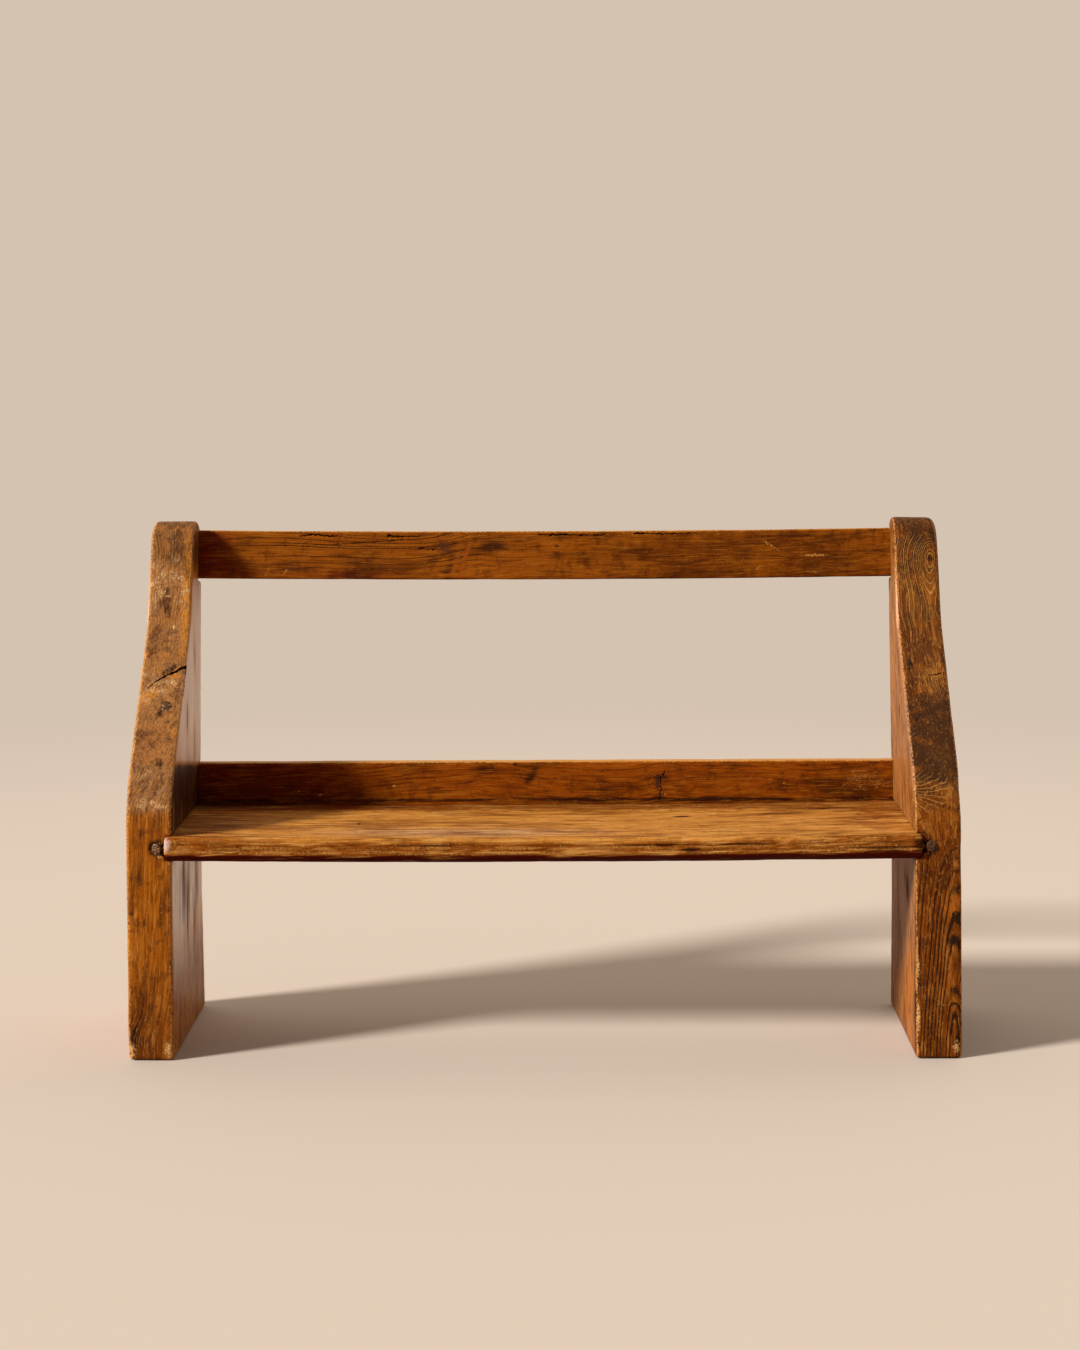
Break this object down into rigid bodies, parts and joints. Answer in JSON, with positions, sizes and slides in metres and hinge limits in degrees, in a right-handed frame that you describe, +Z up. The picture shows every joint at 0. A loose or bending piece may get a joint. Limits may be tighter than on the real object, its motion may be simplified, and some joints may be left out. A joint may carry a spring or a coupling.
{
  "type": "church bench",
  "caption": "Open-backed pine church bench: thick slab ends with S-curved shoulders and round knobs, a housed seat board, a low back rail and a leaning top rail.",
  "frame": {"origin": "centre of the bounding box, on the floor", "axes": "+X along the seat, to the right as seen from the front; +Y to the back; +Z up"},
  "size_m": [1.45, 0.3978, 0.9179],
  "materials": {
    "end_pine": "old waxed pine, worn and mottled, satin",
    "seat_pine": "old waxed pine, worn pale by sitting, satin",
    "rail_pine": "old waxed pine, red-brown, satin",
    "nail_iron": "dark oxidised iron, dull"
  },
  "bodies": {
    "root": {"left_end": "end_pine", "right_end": "end_pine", "seat_board": "seat_pine", "lower_back_rail": "rail_pine", "top_back_rail": "rail_pine", "seat_nail_left": "nail_iron", "seat_nail_right": "nail_iron", "repair_nail_left": "nail_iron", "lower_rail_nail_left_low": "nail_iron", "lower_rail_nail_left_high": "nail_iron", "top_rail_nail_left_low": "nail_iron", "top_rail_nail_left_high": "nail_iron", "lower_rail_nail_right_low": "nail_iron", "lower_rail_nail_right_high": "nail_iron", "top_rail_nail_right_low": "nail_iron", "top_rail_nail_right_high": "nail_iron", "seat_back_nail_1": "nail_iron", "seat_back_nail_2": "nail_iron", "seat_back_nail_3": "nail_iron", "seat_back_nail_4": "nail_iron"}
  },
  "joints": []
}
